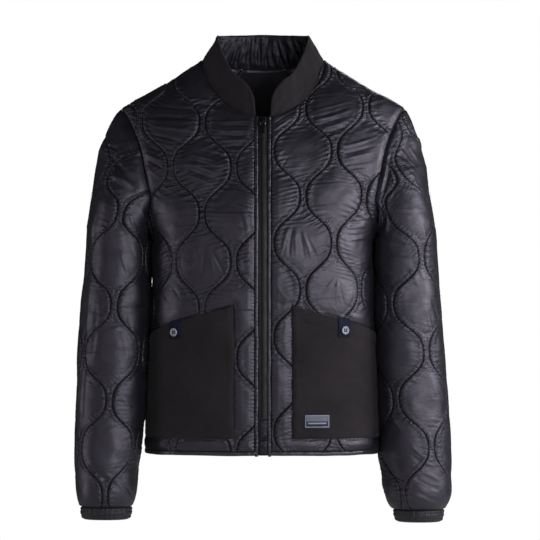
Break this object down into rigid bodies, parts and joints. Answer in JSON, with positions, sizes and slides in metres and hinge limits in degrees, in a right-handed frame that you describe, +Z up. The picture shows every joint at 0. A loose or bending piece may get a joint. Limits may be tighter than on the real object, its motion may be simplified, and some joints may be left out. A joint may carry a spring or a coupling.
{
  "type": "quilted jacket",
  "caption": "Hollow worn-shape quilted jacket with stand collar, front zip, two slanted patch pockets with button tabs and elastic cuffs.",
  "frame": {"origin": "between the neck points of the two shoulder seams, where the wearer's shoulders hold the jacket up", "axes": "+X to the wearer's left, -Y to the front, +Z up"},
  "size_m": [0.6137, 0.2622, 0.7883],
  "materials": {
    "quilted_nylon": "onion-quilted nylon, black with a cool sheen, fine puckers at the stitch lines",
    "cuff_nylon": "the same nylon gathered over elastic",
    "facing_nylon": "the same nylon, padded, inside the collar",
    "binding_nylon": "narrow nylon binding, folded and stitched",
    "cotton_twill": "brown-black cotton twill, matt, slightly faded",
    "navy_tape": "dark navy cotton tape",
    "label_cloth": "woven cloth, dark navy ground with a paler blue-grey field, left bare",
    "zip_tape": "black woven zip tape",
    "zip_chain": "black nylon coil",
    "zip_metal": "black enamel on cast metal",
    "button": "blue-grey resin, four holes"
  },
  "bodies": {
    "jacket": {"front_right": "quilted_nylon", "front_left": "quilted_nylon", "back": "quilted_nylon", "sleeve_right": "quilted_nylon", "sleeve_left": "quilted_nylon", "cuff_right": "cuff_nylon", "cuff_left": "cuff_nylon", "collar": "cotton_twill", "collar_facing": "facing_nylon", "pocket_right": "cotton_twill", "pocket_left": "cotton_twill", "pocket_tab_right": "navy_tape", "pocket_tab_left": "navy_tape", "pocket_button_right": "button", "pocket_button_left": "button", "pocket_label": "label_cloth", "front_binding_right": "binding_nylon", "front_binding_left": "binding_nylon", "hem_binding_right": "binding_nylon", "hem_binding_left": "binding_nylon", "hem_binding_back": "binding_nylon", "placket_foot": "quilted_nylon", "zip_tape_right": "zip_tape", "zip_tape_left": "zip_tape", "zip_chain": "zip_chain", "zip_slider": "zip_metal"},
    "pull_tab": {"zip_pull_tab": "zip_metal"}
  },
  "joints": [
    {"name": "pull_tab_swing", "type": "hinge", "parent": "jacket", "child": "pull_tab", "pos_m": [0, -0.08715, -0.09795], "axis": [-1, 0, 0], "range_deg": [0, 160]}
  ]
}
